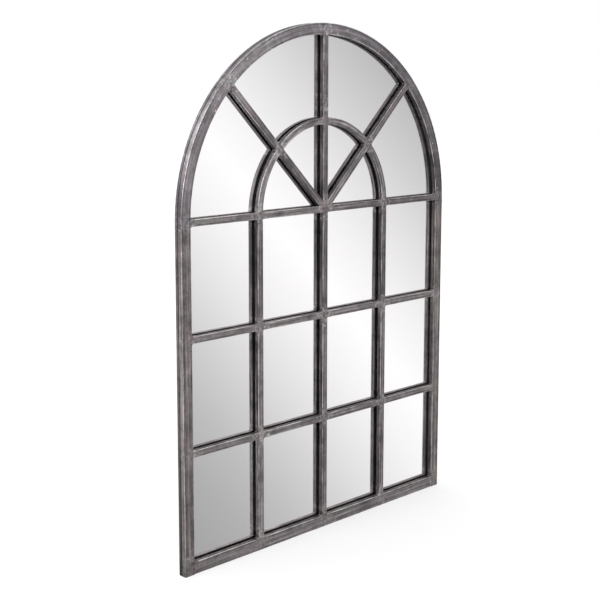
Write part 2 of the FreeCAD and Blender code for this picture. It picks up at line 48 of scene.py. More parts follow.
# where the lattice lies, read from the CAD nodes, in metres
barLow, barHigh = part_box("centre_muntin")
railLow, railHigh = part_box("bottom_rail_tube")
stileLow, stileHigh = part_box("right_stile_tube")
glassLow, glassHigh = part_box("mirror_glass")
lattice = {
    "frontY": barLow.y,
    "seamY": barHigh.y,
    "barHalf": (barHigh.x - barLow.x) / 2,
    "barX": middle("right_muntin").x,
    "springZ": middle("spring_bar_1").z,
    "upperZ": middle("upper_bar_1").z,
    "lowerZ": middle("lower_bar_1").z,
    "railZ": (railLow.z + railHigh.z) / 2,
    "railTop": railHigh.z,
    "railHalf": (railHigh.z - railLow.z) / 2,
    "stileX": (stileLow.x + stileHigh.x) / 2,
    "stileHalf": (stileHigh.x - stileLow.x) / 2,
    "archSeamZ": stileHigh.z,
    "outerRadius": stileHigh.x,
}
lattice["rowPitch"] = lattice["springZ"] - lattice["upperZ"]
lattice["openRadius"] = lattice["outerRadius"] - 2 * lattice["stileHalf"]
lattice["archCentre"] = (lattice["outerRadius"] + lattice["openRadius"]) / 2
lattice["sideY"] = (lattice["frontY"] + lattice["seamY"]) / 2
print("lattice:", {key: round(value * 1000, 2) for key, value in lattice.items()})


# small helpers for node trees
def connect(tree, socket, value):
    if isinstance(value, bpy.types.NodeSocket):
        tree.links.new(value, socket)
    else:
        socket.default_value = value


def place(tree, kind, sockets=None, **settings):
    item = tree.nodes.new("ShaderNode" + kind)
    for name, value in settings.items():
        setattr(item, name, value)
    for key, value in (sockets or {}).items():
        connect(tree, item.inputs[key], value)
    return item


def calc(tree, operation, first, second=0.0, third=0.0, clamp=False):
    return place(tree, "Math", {0: first, 1: second, 2: third},
                 operation=operation, use_clamp=clamp).outputs[0]


def product(tree, first, *others):
    for value in others:
        first = calc(tree, "MULTIPLY", first, value)
    return first


def centred(tree, value, amount):
    # a cloud of 0 to 1 as a change of either sign
    return calc(tree, "MULTIPLY", calc(tree, "SUBTRACT", value, 0.5), amount)


def ease(tree, value, start, end, low=0.0, high=1.0):
    limits = {"Value": value, "From Min": start, "From Max": end, "To Min": low, "To Max": high}
    return place(tree, "MapRange", limits, interpolation_type="SMOOTHSTEP").outputs[0]


def stretch(tree, vector, factors):
    return place(tree, "VectorMath", {0: vector, 1: factors}, operation="MULTIPLY").outputs[0]


def cloud(tree, vector, scale, detail=2.0, roughness=0.5):
    return place(tree, "TexNoise", {"Vector": vector, "Scale": scale, "Detail": detail,
                                    "Roughness": roughness}).outputs[0]


def drawnCloud(tree, vector, factors, detail, roughness):
    # a cloud drawn out into streaks, with its own scale along each axis
    return cloud(tree, stretch(tree, vector, factors), 1.0, detail, roughness)


def colour(red, green, blue):
    # a screen colour of 0 to 255 as Blender's linear colour
    parts = [value / 255 for value in (red, green, blue)]
    return [p / 12.92 if p <= 0.04045 else ((p + 0.055) / 1.055) ** 2.4 for p in parts] + [1.0]


def ramp(tree, value, stops):
    item = place(tree, "ValToRGB", {0: value})
    elements = item.color_ramp.elements
    elements.remove(elements[1])
    elements[0].position, elements[0].color = stops[0]
    for position, shade in stops[1:]:
        elements.new(position).color = shade
    return item.outputs[0]


def mixColours(tree, factor, first, second, mode="MIX"):
    return place(tree, "Mix", {0: factor, 6: first, 7: second},
                 data_type="RGBA", blend_type=mode).outputs[2]


def objectPoint(tree):
    return place(tree, "TexCoord").outputs["Object"]


def relief(tree, height, distance):
    return place(tree, "Bump", {"Height": height, "Distance": distance, "Strength": 1.0}).outputs[0]


def newMaterial(name):
    material = bpy.data.materials.new(name)
    material.use_nodes = True
    tree = material.node_tree
    tree.nodes.clear()
    shader = place(tree, "BsdfPrincipled")
    tree.links.new(shader.outputs[0], place(tree, "OutputMaterial").inputs[0])
    return material, tree, shader


def setShader(tree, shader, values):
    for key, value in values.items():
        connect(tree, shader.inputs[key], value)


def newGroup(name, inputs, outputs):
    group = bpy.data.node_groups.new(name, "ShaderNodeTree")
    for label, kind, value in inputs:
        socket = group.interface.new_socket(name=label, in_out="INPUT", socket_type="NodeSocket" + kind)
        if value is not None:
            socket.default_value = value
    for label, kind in outputs:
        group.interface.new_socket(name=label, in_out="OUTPUT", socket_type="NodeSocket" + kind)
    given, result = group.nodes.new("NodeGroupInput"), group.nodes.new("NodeGroupOutput")
    return group, given.outputs, result.inputs


def useGroup(tree, group, sockets):
    item = tree.nodes.new("ShaderNodeGroup")
    item.node_tree = group
    for key, value in sockets.items():
        connect(tree, item.inputs[key], value)
    return item.outputs


# the rubbed pewter finish of all the steel, with a painted highlight on its worn corners and painted shade
# in the seam's crease: lengths are in metres, clouds are per metre, and each layer moves a shade that runs
# from 0, dark, to 1, bright
pewter = {
    "streakCloud": (240, 240, 7),        # broad rubbing streaks: across, in depth and along the bar
    "streakShare": 1.0,
    "hairCloud": (1300, 1300, 26),       # fine brush lines
    "hairShare": 0.40,
    "blotchCloud": 42,
    "blotchShare": 0.40,
    "mottleCloud": 180.6,
    "mottleShare": 0.26,
    "speckCloud": 780,                   # pinpoints of bare metal
    "speckCut": (0.70, 0.80),
    "speckLight": 0.12,
    "spatterCells": 55,                  # drops of weld spatter, polished bright
    "spatterSize": (0.10, 0.065),
    "sideReach": (0.0012, 0.0003),       # where the side of a bar begins, from its corner
    "outerReach": (0.0, 0.002),          # where the outer half of the frame begins, from its middle
    "edgeReach": (0.0018, 0.0006),       # the worn line along a corner, bare metal with a painted highlight: its faint and its full width
    "edgeHighlight": 0.46,
    "edgeBreakCloud": (60, 60, 16),      # where the worn, painted-highlight line is broken
    "edgeBreakCut": (0.28, 0.58),
    "shadowStart": (0.0017, 0.0026),     # the dark line beside the worn highlight line, from the corner
    "shadowEnd": (0.0054, 0.0034),
    "shadowDepth": (0.0014, 0.0004),
    "seamShadeReach": (0.0020, 0.0006),     # painted shade in the crease of the seam between the two frames
    "jointReach": (0.029, 0.019),        # how far the rubbed patch of a weld runs along the bars
    "jointFrayCloud": 95,
    "jointFray": 0.045,
    "jointQuiet": 0.7,                   # how much of the streaks and the worn highlight line it wipes out
    "weldCloud": 135,
    "weldShare": 1.0,
    "weldLight": 0.08,
    "ridgeCloud": 88,                    # thin crooked lines left by the grinding of the beads
    "ridgeWidth": (0.030, 0.006),
    "ridgeLight": 0.12,
    "shades": [(0.0, colour(36, 34, 35)), (0.3, colour(84, 80, 83)), (0.5, colour(119, 114, 118)),
               (0.7, colour(154, 149, 153)), (1.0, colour(224, 221, 222))],
    "green": colour(112, 116, 104),      # wide patches lean to green
    "greenCloud": 23,
    "greenMask": (0.50, 0.66, 0.0, 0.45),
    "warm": (1.0, 0.965, 0.895, 1.0),    # browner where the polish has yellowed
    "warmShare": -1.2,
    "hueCloud": 48,                      # small patches lean to green or to purple
    "hueShare": 2.4,
    "hues": ((0.935, 1.0, 0.955, 1.0), (1.065, 1.0, 1.045, 1.0)),
    "roughness": (0.2, 0.85, 0.60, 0.36),    # from a dark shade to a bright one
    "hairRoughness": 0.16,
    "metal": (0.1, 0.5, 0.55, 0.92),
    "hairHeight": 0.30,
    "blotchHeight": 1.1,
    "weldHeight": 1.6,
    "ridgeHeight": 1.2,
}


def buildPewterGroup():
    numbers = {"Along": 0.0, "Across": 0.0, "Half Width": 0.0075, "Joint Distance": 1.0, "Base": 0.5,
               "Side Shade": 0.0, "Edge Wear And Highlight": 1.0, "Streaks": 1.0, "Warmth": 0.5, "Seam Shade": 0.5,
               "Weld Patch": 1.0, "Edge Shadow": 0.0, "Spatter": 0.0}
    group, given, result = newGroup(
        "RubbedPewter",
        [("Point", "Vector", None)] + [(label, "Float", value) for label, value in numbers.items()],
        [("Colour", "Color"), ("Roughness", "Float"), ("Metal", "Float"), ("Height", "Float")])
    point = given["Point"]
    depth = place(group, "SeparateXYZ", {0: point}).outputs[1]
    grain = place(group, "CombineXYZ", {0: given["Across"], 1: depth, 2: given["Along"]}).outputs[0]
    streaks = drawnCloud(group, grain, pewter["streakCloud"], 4.0, 0.6)
    hairs = drawnCloud(group, grain, pewter["hairCloud"], 2.0, 0.7)
    blotches = cloud(group, point, pewter["blotchCloud"], 4.0, 0.62)
    mottle = cloud(group, point, pewter["mottleCloud"], 3.0, 0.6)
    specks = cloud(group, point, pewter["speckCloud"], 1.0, 0.5)
    spatter = place(group, "TexVoronoi", {"Vector": point, "Scale": pewter["spatterCells"]})
    lumps = cloud(group, point, pewter["weldCloud"], 2.5, 0.6)
    ridges = centred(group, cloud(group, point, pewter["ridgeCloud"], 2.5, 0.6), 1.0)
    ridges = ease(group, calc(group, "ABSOLUTE", ridges), *pewter["ridgeWidth"])

    # distances from the corners of the bar and from the seam between the two frames
    fromCorner = calc(group, "SUBTRACT", given["Half Width"], calc(group, "ABSOLUTE", given["Across"]))
    fromFront = calc(group, "ABSOLUTE", calc(group, "SUBTRACT", depth, lattice["frontY"]))
    fromSeam = calc(group, "ABSOLUTE", calc(group, "SUBTRACT", depth, lattice["seamY"]))
    side = ease(group, fromCorner, *pewter["sideReach"])
    seamShade = ease(group, fromSeam, *pewter["seamShadeReach"])
    frayed = cloud(group, point, pewter["jointFrayCloud"], 3.0, 0.6)
    frayed = calc(group, "ADD", given["Joint Distance"], centred(group, frayed, pewter["jointFray"]))
    joint = ease(group, frayed, *pewter["jointReach"])
    quiet = calc(group, "SUBTRACT", 1.0, calc(group, "MULTIPLY", joint, pewter["jointQuiet"]))
    streaky = product(group, quiet, given["Streaks"])
    # the worn line along the corners: bare metal, with a painted highlight along it
    edgeDistance = calc(group, "ADD", fromFront, calc(group, "MAXIMUM", fromCorner, 0.0))
    edgeBreak = drawnCloud(group, grain, pewter["edgeBreakCloud"], 4.0, 0.7)
    wornHighlight = product(group, ease(group, edgeDistance, *pewter["edgeReach"]),
                   ease(group, edgeBreak, *pewter["edgeBreakCut"]), given["Edge Wear And Highlight"], quiet)
    besideEdge = product(group, ease(group, fromCorner, *pewter["shadowStart"]),
                         ease(group, fromCorner, *pewter["shadowEnd"]),
                         ease(group, fromFront, *pewter["shadowDepth"]))
    weldTone = calc(group, "ADD", pewter["weldLight"], centred(group, lumps, pewter["weldShare"]))
    weldTone = calc(group, "MULTIPLY_ADD", ridges, pewter["ridgeLight"], weldTone)

    shade = given["Base"]
    for mask, amount in (
            (streaky, centred(group, streaks, pewter["streakShare"])),
            (streaky, centred(group, hairs, pewter["hairShare"])),
            (centred(group, blotches, 1.0), pewter["blotchShare"]),
            (centred(group, mottle, 1.0), pewter["mottleShare"]),
            (product(group, joint, given["Weld Patch"]), weldTone),
            (wornHighlight, pewter["edgeHighlight"]),
            (ease(group, specks, *pewter["speckCut"]), pewter["speckLight"]),
            (ease(group, spatter.outputs["Distance"], *pewter["spatterSize"]), given["Spatter"])):
        shade = calc(group, "MULTIPLY_ADD", mask, amount, shade)
    # taken off the shade: the dark line beside the corners, the sides of the bars and the painted shade in
    # the seam's crease
    for mask, amount in ((besideEdge, given["Edge Shadow"]), (side, given["Side Shade"]),
                         (seamShade, given["Seam Shade"])):
        shade = calc(group, "SUBTRACT", shade, product(group, mask, amount))
    shade = calc(group, "ADD", shade, 0.0, clamp=True)

    tone = ramp(group, shade, pewter["shades"])
    green = mixColours(group, 1.0, tone, pewter["green"], "SOFT_LIGHT")
    patches = cloud(group, point, pewter["greenCloud"], 2.0, 0.5)
    tone = mixColours(group, ease(group, patches, *pewter["greenMask"]), tone, green)
    warmth = calc(group, "ADD", given["Warmth"], centred(group, patches, pewter["warmShare"]), clamp=True)
    tone = mixColours(group, warmth, tone, mixColours(group, 1.0, tone, pewter["warm"], "MULTIPLY"))
    hue = centred(group, cloud(group, point, pewter["hueCloud"], 3.0, 0.6), pewter["hueShare"])
    hue = mixColours(group, calc(group, "ADD", hue, 0.5, clamp=True), *pewter["hues"])
    connect(group, result["Colour"], mixColours(group, 1.0, tone, hue, "MULTIPLY"))
    rough = ease(group, shade, *pewter["roughness"])
    rough = calc(group, "ADD", rough, centred(group, hairs, pewter["hairRoughness"]))
    connect(group, result["Roughness"], rough)
    connect(group, result["Metal"], ease(group, shade, *pewter["metal"]))
    height = calc(group, "MULTIPLY_ADD", ridges, pewter["ridgeHeight"],
                  centred(group, lumps, pewter["weldHeight"]))
    height = calc(group, "MULTIPLY_ADD", joint, height, centred(group, blotches, pewter["blotchHeight"]))
    height = calc(group, "ADD", height, centred(group, hairs, pewter["hairHeight"]))
    connect(group, result["Height"], height)
    return group


def buildArchGroup():
    # position round an arch about the centre of the spring line
    group, given, result = newGroup("ArchPlace", [("Point", "Vector", None), ("Radius", "Float", 0.3)],
                                    [("Along", "Float"), ("Across", "Float")])
    parts = place(group, "SeparateXYZ", {0: given["Point"]}).outputs
    rise = calc(group, "SUBTRACT", parts[2], lattice["springZ"])
    squares = calc(group, "ADD", product(group, parts[0], parts[0]), product(group, rise, rise))
    turn = calc(group, "ARCTAN2", parts[0], rise)
    connect(group, result["Along"], product(group, turn, given["Radius"]))
    connect(group, result["Across"],
            calc(group, "SUBTRACT", calc(group, "SQRT", squares), given["Radius"]))
    return group


pewterGroup = buildPewterGroup()
archGroup = buildArchGroup()

# how each run of bars is rubbed and shaded, where it isn't as usual; drift changes the tone along the bar,
# and on the arches, stiles and rear frame it paints light and shade;
# the outer side's painted shade and the painted shade in the seam's crease step along the bar too, in
# steps of (from, to, how much)
usualRubbing = {
    "base": 0.55, "sideShade": 0.1, "outerPaintedShade": (), "edgeWearAndHighlight": 1.0, "edgeShadow": 0.0, "streaks": 1.0,
    "warmth": 0.5, "seamShade": (0.5,), "weldPatch": 1.0, "spatter": 0.0, "drift": (), "bump": 0.00022,
}
rubbing = {
    "pewterUprights": {"base": 0.52},
    "pewterLeftUpright": {"base": 0.51, "drift": [(0.42, 0.28, 0.12)]},
    # painted shade: the stiles darker towards the foot, on the face, on the outer side and in the seam's
    # crease
    "pewterStiles": {
        "base": 0.58, "edgeWearAndHighlight": 0.75, "edgeShadow": 0.13, "warmth": 0.85, "weldPatch": 0.6,
        "drift": [(0.18, 0.05, -0.03)], "outerPaintedShade": (0.0, (0.20, 0.11, 0.14), (0.64, 0.73, 0.09)),
        "seamShade": (0.06, (0.34, 0.06, 0.60), (0.67, 0.73, 0.20))},
    "pewterCrossBars": {"base": 0.57, "sideShade": 0.02},
    "pewterSpringBars": {
        "base": 0.57, "sideShade": 0.02, "drift": [(-0.24, -0.32, 0.06), (0.06, 0.20, -0.09)]},
    "pewterRail": {"base": 0.59, "sideShade": 0.02, "weldPatch": 0.6, "edgeShadow": 0.08},
    "pewterLeftSpoke": {"base": 0.48, "drift": [(0.26, 0.34, 0.16)]},
    "pewterRightSpoke": {"base": 0.58, "drift": [(0.17, 0.26, -0.05)]},
    # painted light: the inner arch lighter on its left half
    "pewterInnerArch": {"streaks": 1.4, "warmth": 0.2, "drift": [(-0.06, -0.16, 0.11)]},
    # painted light and shade: the outer arch lighter on its left, darker on its right and at its left foot
    "pewterOuterArch": {
        "streaks": 0.7, "edgeWearAndHighlight": 1.25, "edgeShadow": 0.10, "warmth": 0.0, "weldPatch": 0.8,
        "spatter": 0.45,
        "outerPaintedShade": (0.14, (-0.50, -0.57, 0.15), (-0.32, -0.40, -0.09), (-0.44, -0.51, 0.09)),
        "drift": [(0.0, -0.30, 0.10), (0.10, 0.20, -0.08), (-0.53, -0.60, -0.07)]},
    # painted shade: the rear frame darker towards its foot
    "pewterRearFrame": {
        "base": 0.30, "edgeWearAndHighlight": 0.0, "warmth": 0.75, "drift": [(0.05, 0.32, 0.15), (0.20, 0.02, -0.20)]},
    "pewterRearArch": {
        "base": 0.47, "edgeWearAndHighlight": 0.0, "warmth": 0.2,
        "drift": [(-0.44, -0.50, -0.16), (-0.34, -0.40, 0.07), (-0.28, -0.22, -0.06)]},
    "pewterWelds": {"base": 0.52, "edgeWearAndHighlight": 0.0, "bump": 0.0004},
}
# how the rubbed patch of a weld is cut short towards the outside of the frame
patchShape = {
    "stileInward": (-0.010, 0.006, 0.002, 0.020),
    "stileFoot": 0.006,
    "railDown": (0.004, -0.010, 0.0, 0.02),
    "archLess": 0.009,
}
cornerless = 0.02    # half width beyond a bar's own, where no side or worn highlight line may show


def changing(tree, along, value, steps):
    # a value that changes slowly along the bar
    for start, end, amount in steps:
        value = calc(tree, "ADD", value, ease(tree, along, start, end, 0.0, amount))
    return value


def steel(name, layout, halfWidth):
    # one material for bars that run the same way; layout gives their along, across and joint distance
    look = {**usualRubbing, **rubbing[name]}
    material, tree, shader = newMaterial(name)
    point = objectPoint(tree)
    along, across, joint = layout(tree, point, place(tree, "SeparateXYZ", {0: point}).outputs)
    sideShade = look["sideShade"]
    if look["outerPaintedShade"]:    # the outer side of the frame gets its own painted shade: darker towards the foot and the top of the stiles and at the arch's left foot, lighter on a stretch of the arch's left
        outer = changing(tree, along, look["outerPaintedShade"][0] - sideShade, look["outerPaintedShade"][1:])
        outside = ease(tree, across, *pewter["outerReach"])
        sideShade = calc(tree, "MULTIPLY_ADD", outside, outer, sideShade)
    finish = useGroup(tree, pewterGroup, {
        "Point": point, "Along": along, "Across": across, "Half Width": halfWidth,
        "Joint Distance": joint, "Base": changing(tree, along, look["base"], look["drift"]),
        "Side Shade": sideShade, "Edge Wear And Highlight": look["edgeWearAndHighlight"], "Streaks": look["streaks"],
        "Warmth": look["warmth"], "Seam Shade": changing(tree, along, look["seamShade"][0], look["seamShade"][1:]),
        "Weld Patch": look["weldPatch"], "Edge Shadow": look["edgeShadow"], "Spatter": look["spatter"]})
    setShader(tree, shader, {"Base Color": finish["Colour"], "Roughness": finish["Roughness"],
                             "Metallic": finish["Metal"],
                             "Normal": relief(tree, finish["Height"], look["bump"])})
    return material


def nearest(tree, value, pitch):
    # distance from the nearest of a row of places, pitch apart
    return calc(tree, "ABSOLUTE", calc(tree, "WRAP", value, pitch / 2, -pitch / 2))


def crossings(tree, height):
    return nearest(tree, calc(tree, "SUBTRACT", height, lattice["springZ"]), lattice["rowPitch"])


def uprightLayout(tree, point, parts):
    across = calc(tree, "WRAP", parts[0], lattice["barX"] / 2, -lattice["barX"] / 2)
    foot = calc(tree, "ABSOLUTE", calc(tree, "SUBTRACT", parts[2], lattice["railTop"]))
    return parts[2], across, calc(tree, "MINIMUM", crossings(tree, parts[2]), foot)


def stileLayout(tree, point, parts):
    across = calc(tree, "SUBTRACT", calc(tree, "ABSOLUTE", parts[0]), lattice["stileX"])
    inward = ease(tree, across, *patchShape["stileInward"])
    footHeight = lattice["railTop"] - patchShape["stileFoot"]
    foot = calc(tree, "ABSOLUTE", calc(tree, "SUBTRACT", parts[2], footHeight))
    joint = calc(tree, "MINIMUM", calc(tree, "ADD", crossings(tree, parts[2]), inward), foot)
    return parts[2], across, joint


def crossBarLayout(tree, point, parts):
    rise = calc(tree, "SUBTRACT", parts[2], lattice["springZ"])
    across = calc(tree, "WRAP", rise, lattice["rowPitch"] / 2, -lattice["rowPitch"] / 2)
    return parts[0], across, nearest(tree, parts[0], lattice["barX"])


def railLayout(tree, point, parts):
    across = calc(tree, "SUBTRACT", parts[2], lattice["railZ"])
    down = ease(tree, across, *patchShape["railDown"])
    return parts[0], across, calc(tree, "ADD", nearest(tree, parts[0], lattice["barX"]), down)


def spokeLayout(tree, point, parts):
    rise = calc(tree, "SUBTRACT", parts[2], lattice["springZ"])
    sideways = calc(tree, "ABSOLUTE", parts[0])
    along = calc(tree, "MULTIPLY", calc(tree, "ADD", sideways, rise), math.sqrt(0.5))
    across = calc(tree, "MULTIPLY", calc(tree, "SUBTRACT", rise, sideways), math.sqrt(0.5))
    return along, across, nearest(tree, along, lattice["barX"])


def archLayout(radius, less=0.0):
    # less makes the rubbed patches of the welds shorter
    def layout(tree, point, parts):
        places = useGroup(tree, archGroup, {"Point": point, "Radius": radius})
        joint = calc(tree, "ADD", nearest(tree, places["Along"], radius * math.pi / 4), less)
        return places["Along"], places["Across"], joint
    return layout


def weldLayout(tree, point, parts):
    return parts[2], 0.0, 0.0


def rearLayout(tree, point, parts):
    # the shallow rear frame has no weld marks of its own
    return parts[2], 0.0, 1.0


def dress(material, *names):
    for name in names:
        for spot in nodes[name].material_slots:
            spot.material = material


def dressSteel(name, layout, halfWidth, *names):
    dress(steel(name, layout, halfWidth), *names)


barHalf, stileHalf = lattice["barHalf"], lattice["stileHalf"]
dressSteel("pewterUprights", uprightLayout, barHalf, "centre_muntin", "right_muntin")
dressSteel("pewterLeftUpright", uprightLayout, barHalf, "left_muntin")
dressSteel("pewterStiles", stileLayout, stileHalf,
           "left_stile_tube", "right_stile_tube", "stile_end_plates")
dressSteel("pewterCrossBars", crossBarLayout, barHalf,
           *[f"{row}_bar_{n}" for row in ("upper", "lower") for n in (1, 2, 3, 4)])
dressSteel("pewterSpringBars", crossBarLayout, barHalf, *[f"spring_bar_{n}" for n in (1, 2, 3, 4)])
dressSteel("pewterRail", railLayout, lattice["railHalf"], "bottom_rail_tube")
dressSteel("pewterLeftSpoke", spokeLayout, barHalf, "left_spoke")
dressSteel("pewterRightSpoke", spokeLayout, barHalf, "right_spoke")
dressSteel("pewterInnerArch", archLayout(lattice["barX"]), barHalf,
           *[f"inner_arch_{n}" for n in (1, 2, 3, 4)])
dressSteel("pewterOuterArch", archLayout(lattice["archCentre"], patchShape["archLess"]), stileHalf,
           "outer_arch_tube")
dressSteel("pewterRearFrame", rearLayout, stileHalf,
           "rear_left_tube", "rear_right_tube", "rear_bottom_tube", "rear_end_plates")
dressSteel("pewterRearArch", archLayout(lattice["archCentre"]), stileHalf + cornerless, "rear_arch_tube")
weldSteel = steel("pewterWelds", weldLayout, cornerless)
print("steel materials made")


# mirror: clear glass with the silvering behind it
mirrorSheet = {
    "silverDepth": (0.0030, 0.0032),     # front and back of the silvering, just inside the glass's back
    "silverInset": 0.0002,               # from the edge of the glass
    "arcSides": 160,
    "silver": (colour(250, 249, 249), colour(252, 251, 251)),
    "silverCloud": 3.0,
    "dustCloud": 9.0,                    # a breath of dullness in places
    "dustRoughness": (0.4, 0.75, 0.0, 0.02),
    "glass": (colour(254, 254, 254), colour(255, 254, 255)),
    "glassCloud": 4.0,
    "glassIndex": 1.5,
}


def glassMaterial():
    material, tree, shader = newMaterial("mirrorGlass")
    tint = mixColours(tree, cloud(tree, objectPoint(tree), mirrorSheet["glassCloud"]),
                      *mirrorSheet["glass"])
    setShader(tree, shader, {"Base Color": tint, "Roughness": 0.0, "Transmission Weight": 1.0,
                             "IOR": mirrorSheet["glassIndex"]})
    return material


def silverMaterial():
    material, tree, shader = newMaterial("silvering")
    point = objectPoint(tree)
    tone = mixColours(tree, cloud(tree, point, mirrorSheet["silverCloud"], 3.0), *mirrorSheet["silver"])
    dust = ease(tree, cloud(tree, point, mirrorSheet["dustCloud"], 4.0), *mirrorSheet["dustRoughness"])
    setShader(tree, shader, {"Base Color": tone, "Roughness": dust, "Metallic": 1.0})
    return material


def corners(geometry):
    return [item for item in geometry if isinstance(item, bmesh.types.BMVert)]


def buildSilvering():
    # a full disc, cut at the spring line, drawn down to the foot of the glass and thickened
    front, back = mirrorSheet["silverDepth"]
    spring, tiny = lattice["springZ"], 1e-6
    shape = bmesh.new()
    bmesh.ops.create_circle(shape, cap_ends=True, segments=mirrorSheet["arcSides"],
                            radius=glassHigh.x - mirrorSheet["silverInset"],
                            matrix=Matrix.Translation((0, front, spring))
                            @ Matrix.Rotation(math.pi / 2, 4, "X"))
    everything = shape.verts[:] + shape.edges[:] + shape.faces[:]
    bmesh.ops.bisect_plane(shape, geom=everything, dist=tiny, plane_co=(0, 0, spring),
                           plane_no=(0, 0, -1), clear_outer=True)
    straight = [edge for edge in shape.edges
                if all(abs(corner.co.z - spring) < tiny for corner in edge.verts)]
    lower = bmesh.ops.extrude_edge_only(shape, edges=straight)
    drop = glassLow.z + mirrorSheet["silverInset"] - spring
    bmesh.ops.translate(shape, verts=corners(lower["geom"]), vec=(0, 0, drop))
    thick = bmesh.ops.extrude_face_region(shape, geom=shape.faces[:])
    bmesh.ops.translate(shape, verts=corners(thick["geom"]), vec=(0, back - front, 0))
    bmesh.ops.recalc_face_normals(shape, faces=shape.faces[:])
    return shape


def addObject(name, data):
    item = bpy.data.objects.new(name, data)
    bpy.context.scene.collection.objects.link(item)
    return item


def finishPiece(name, shape, material, smooth=True):
    mesh = bpy.data.meshes.new(name)
    shape.to_mesh(mesh)
    shape.free()
    mesh.materials.append(material)
    for face in mesh.polygons:
        face.use_smooth = smooth
    piece = addObject(name, mesh)
    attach(piece, "mirror_frame")


dress(glassMaterial(), "mirror_glass")
finishPiece("silvering", buildSilvering(), silverMaterial(), smooth=False)
print("mirror made")


# weld beads; each size is half length, half width and half height
welds = {
    "seed": 7,
    "pad": (0.0078, 0.0026, 0.0013),      # ground bead over a butt seam on the front
    "longPad": (0.01248, 0.0026, 0.0013),    # the same over the wider tubes of the frame
    "sidePad": (0.0062, 0.0024, 0.0013),  # the same on the outside of the arch's foot
    "padDepth": 0.0009,                   # how far its middle lies under the face
    "spokeFoot": (1.1, 1.55, 0.5),        # pad at the foot of a spoke: sideways, up and lean, in bars
    "fillet": (0.0056, 0.0017, 0.0017),   # bead in the corner where two bars meet
    "filletOut": 0.0005,                  # its middle stands this far out of the corner
    "stitch": (0.0065, 0.0023, 0.0012),   # bead over the seam between the two frames
    "stitchIn": 0.0004,
    "stitchHeights": (0.013, 0.361, 0.878),
    "growth": (0.88, 1.14),               # no two beads are the same size
    "wobble": 0.22,
    "wobbleScale": 1.6,
    "ballSides": (18, 10),
}
chance = random.Random(welds["seed"])
forward = (0, -1, 0)
upward = (0, 0, 1)
rightward = (1, 0, 0)
backward = (0, 1, 0)


def addBead(shape, centre, along, outward, size):
    # a flattened ball laid along its seam, its surface roughened a little
    along, outward = Vector(along).normalized(), Vector(outward).normalized()
    turn = Matrix((along, outward.cross(along), outward)).transposed()
    shift = Vector((chance.uniform(-90, 90), chance.uniform(-90, 90), 0))
    grow = [value * chance.uniform(*welds["growth"]) for value in size]
    sides, rings = welds["ballSides"]
    ball = bmesh.ops.create_uvsphere(shape, u_segments=sides, v_segments=rings, radius=1.0,
                                     matrix=Matrix.Rotation(math.pi / 2, 4, "Y"))
    for corner in ball["verts"]:
        swell = 1 + welds["wobble"] * noise.noise(corner.co * welds["wobbleScale"] + shift)
        spot = Vector([corner.co[i] * grow[i] * swell for i in range(3)])
        corner.co = Vector(centre) + turn @ spot


def spokeDirections():
    # outward from the centre of the spring line, and square to that, at the two spokes and the crown
    for angle in (-45, 0, 45):
        radial = Vector((math.sin(math.radians(angle)), 0, math.cos(math.radians(angle))))
        yield radial, Vector((radial.z, 0, -radial.x))


def buildPads():
    shape = bmesh.new()
    barX, openX = lattice["barX"], lattice["openRadius"]
    spring, bar = lattice["springZ"], lattice["barHalf"]

    def pad(x, z, along, size=welds["pad"]):
        addBead(shape, (x, lattice["frontY"] + welds["padDepth"], z), along, forward, size)

    for level in (spring, lattice["upperZ"], lattice["lowerZ"]):
        for x in (-barX, 0.0, barX):
            for sideways in (-bar, bar):
                pad(x + sideways, level, upward)
        for x in (-openX, openX):
            pad(x, level, upward)
    for x in (-barX, 0.0, barX):
        pad(x, lattice["railTop"], rightward)
    for x in (-barX, barX):
        pad(x, spring + bar, rightward)
    for x in (-openX, openX):
        pad(x, lattice["railZ"], upward, welds["longPad"])
    for side in (-1, 1):
        pad(side * lattice["stileX"], lattice["archSeamZ"], rightward, welds["longPad"])
        outside = side * (lattice["outerRadius"] - welds["padDepth"])
        addBead(shape, (outside, lattice["sideY"], lattice["archSeamZ"]), backward, (side, 0, 0),
                welds["sidePad"])
    for radial, square in spokeDirections():
        for sideways in (-bar, bar):
            spot = radial * barX + square * sideways
            pad(spot.x, spring + spot.z, radial)
        spot = radial * openX
        pad(spot.x, spring + spot.z, square)
    sideways, up, lean = welds["spokeFoot"]
    for side in (-1, 1):
        pad(side * bar * sideways, spring + bar * up, (side * lean, 0, 1))
    return shape


def buildFillets():
    shape = bmesh.new()
    barX, openX = lattice["barX"], lattice["openRadius"]
    spring, railTop = lattice["springZ"], lattice["railTop"]
    out = welds["filletOut"]
    bar = lattice["barHalf"] + out    # from the middle of a bar to the middle of a bead beside it
    spots = []    # x and z of each bead, and the way it faces
    for level in (spring, lattice["upperZ"], lattice["lowerZ"]):
        for x in (-barX, 0.0, barX):
            for a in (-1, 1):
                for b in (-1, 1):
                    if not (x == 0.0 and level == spring and b == 1):
                        spots.append((x + a * bar, level + b * bar, a, b))
        for side in (-1, 1):
            for b in (-1, 1):
                spots.append((side * (openX - out), level + b * bar, -side, b))
    for x in (-barX, 0.0, barX):
        for a in (-1, 1):
            spots.append((x + a * bar, railTop + out, a, 1))
    for side in (-1, 1):
        spots.append((side * (openX - out), railTop + out, -side, 1))
    for radial, square in spokeDirections():
        for reach, gap, ends in ((barX, bar, (-1, 1)), (openX, out, (-1,))):
            for b in ends:
                for a in (-1, 1):
                    spot = radial * (reach + b * gap) + square * a * bar
                    facing = radial * b + square * a
                    spots.append((spot.x, spring + spot.z, facing.x, facing.z))
    for x, z, a, b in spots:
        addBead(shape, (x, lattice["sideY"], z), backward, (a, 0, b), welds["fillet"])
    return shape


